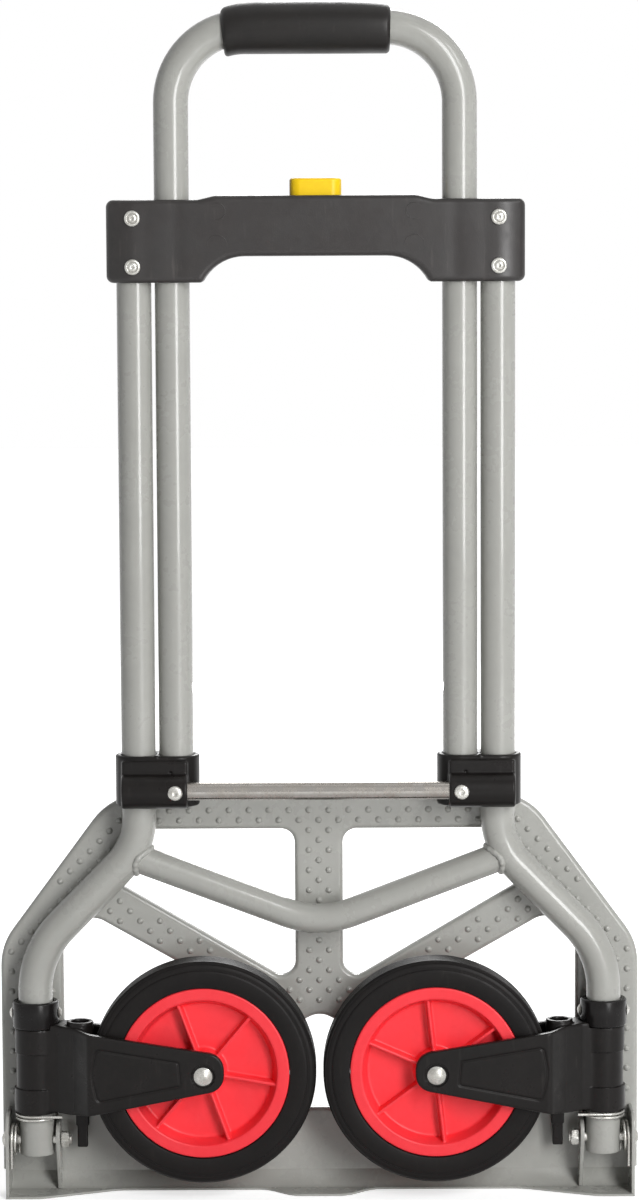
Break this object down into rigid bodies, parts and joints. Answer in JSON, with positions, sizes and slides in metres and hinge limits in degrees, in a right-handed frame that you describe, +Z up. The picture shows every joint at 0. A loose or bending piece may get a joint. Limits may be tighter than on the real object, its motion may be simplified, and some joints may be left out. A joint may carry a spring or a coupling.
{
  "type": "folding hand truck",
  "caption": "Folding two-wheeled hand truck, folded flat: sliding tube handle with a button lock, fold-down toe plate with star-shaped openings, and wheels that swing out with the plate.",
  "frame": {"origin": "on the floor under the folded truck, in its middle plane and in the plane of the frame tubes", "axes": "+Z up along the frame, X across, -Y towards the user, whose side the folded wheels lie on, +Y towards the load"},
  "size_m": [0.411, 0.058, 0.7595],
  "materials": {
    "grey_paint": "satin powder coat",
    "black_plastic": "fine moulded grain",
    "grip_rubber": "soft matt",
    "yellow_plastic": "moulded",
    "zinc_steel": "bright zinc",
    "chrome_bar": "polished",
    "black_tyre": "matt moulded",
    "red_plastic": "moulded"
  },
  "bodies": {
    "frame": {"frame_tube_left": "grey_paint", "frame_tube_right": "grey_paint", "v_brace": "grey_paint", "housing_front": "black_plastic", "housing_rear": "black_plastic", "housing_rivet_upper_left": "zinc_steel", "housing_rivet_upper_right": "zinc_steel", "housing_rivet_lower_left": "zinc_steel", "housing_rivet_lower_right": "zinc_steel", "leg_collar_left": "black_plastic", "leg_collar_right": "black_plastic", "collar_rivet_left": "zinc_steel", "collar_rivet_right": "zinc_steel", "hinge_bolt_left": "zinc_steel", "hinge_bolt_right": "zinc_steel", "hinge_nut_left": "zinc_steel", "hinge_nut_right": "zinc_steel", "button_spring": "zinc_steel"},
    "handle": {"handle_tube": "grey_paint", "grip": "grip_rubber", "carriage_left": "black_plastic", "carriage_right": "black_plastic", "cross_bar": "chrome_bar", "carriage_screw_left": "zinc_steel", "carriage_screw_right": "zinc_steel"},
    "release_button": {"release_button": "yellow_plastic"},
    "lock_bolt_left": {"lock_bolt_left": "zinc_steel"},
    "lock_bolt_right": {"lock_bolt_right": "zinc_steel"},
    "toe_plate": {"toe_plate": "grey_paint", "hinge_lug_left": "grey_paint", "hinge_lug_right": "grey_paint", "toe_spring_left": "zinc_steel", "toe_spring_right": "zinc_steel"},
    "wheel_arm_left": {"wheel_fork_left": "black_plastic", "fork_spring_left": "zinc_steel", "axle_bolt_left": "zinc_steel", "axle_nut_left": "zinc_steel"},
    "wheel_left": {"tyre_left": "black_tyre", "wheel_hub_left": "red_plastic"},
    "wheel_arm_right": {"wheel_fork_right": "black_plastic", "fork_spring_right": "zinc_steel", "axle_bolt_right": "zinc_steel", "axle_nut_right": "zinc_steel"},
    "wheel_right": {"tyre_right": "black_tyre", "wheel_hub_right": "red_plastic"}
  },
  "joints": [
    {"name": "handle_slide", "type": "slide", "parent": "frame", "child": "handle", "axis": [0, 0, 1], "range_m": [0, 0.29]},
    {"name": "button_press", "type": "slide", "parent": "frame", "child": "release_button", "axis": [0, 0, -1], "range_m": [0, 0.0055], "stiffness_N_per_m": 400, "springref_m": -0.003, "deforming": ["button_spring"]},
    {"name": "lock_bolt_slide_left", "type": "slide", "parent": "frame", "child": "lock_bolt_left", "axis": [1, 0, 0], "range_m": [0, 0.0055]},
    {"name": "lock_bolt_slide_right", "type": "slide", "parent": "frame", "child": "lock_bolt_right", "axis": [-1, 0, 0], "range_m": [0, 0.0055]},
    {"name": "plate_fold", "type": "hinge", "parent": "frame", "child": "toe_plate", "pos_m": [0, 0, 0.036], "axis": [-1, 0, 0], "range_deg": [0, 90], "stiffness_Nm_per_rad": 0.35, "springref_deg": -57.3},
    {"name": "arm_fold_left", "type": "hinge", "parent": "frame", "child": "wheel_arm_left", "pos_m": [-0.182, 0, 0.084], "axis": [0, 0, -1], "range_deg": [0, 90]},
    {"name": "arm_fold_right", "type": "hinge", "parent": "frame", "child": "wheel_arm_right", "pos_m": [0.182, 0, 0.084], "axis": [0, 0, 1], "range_deg": [0, 90]},
    {"name": "wheel_spin_left", "type": "hinge", "parent": "wheel_arm_left", "child": "wheel_left", "pos_m": [-0.074, -0.013, 0.084], "axis": [0, 1, 0], "continuous": true},
    {"name": "wheel_spin_right", "type": "hinge", "parent": "wheel_arm_right", "child": "wheel_right", "pos_m": [0.074, -0.013, 0.084], "axis": [0, 1, 0], "continuous": true}
  ],
  "couplings": [
    {"joint": "lock_bolt_slide_left", "follows": "button_press", "ratio": 1},
    {"joint": "lock_bolt_slide_right", "follows": "button_press", "ratio": 1},
    {"joint": "arm_fold_left", "follows": "plate_fold", "ratio": 1},
    {"joint": "arm_fold_right", "follows": "plate_fold", "ratio": 1}
  ]
}
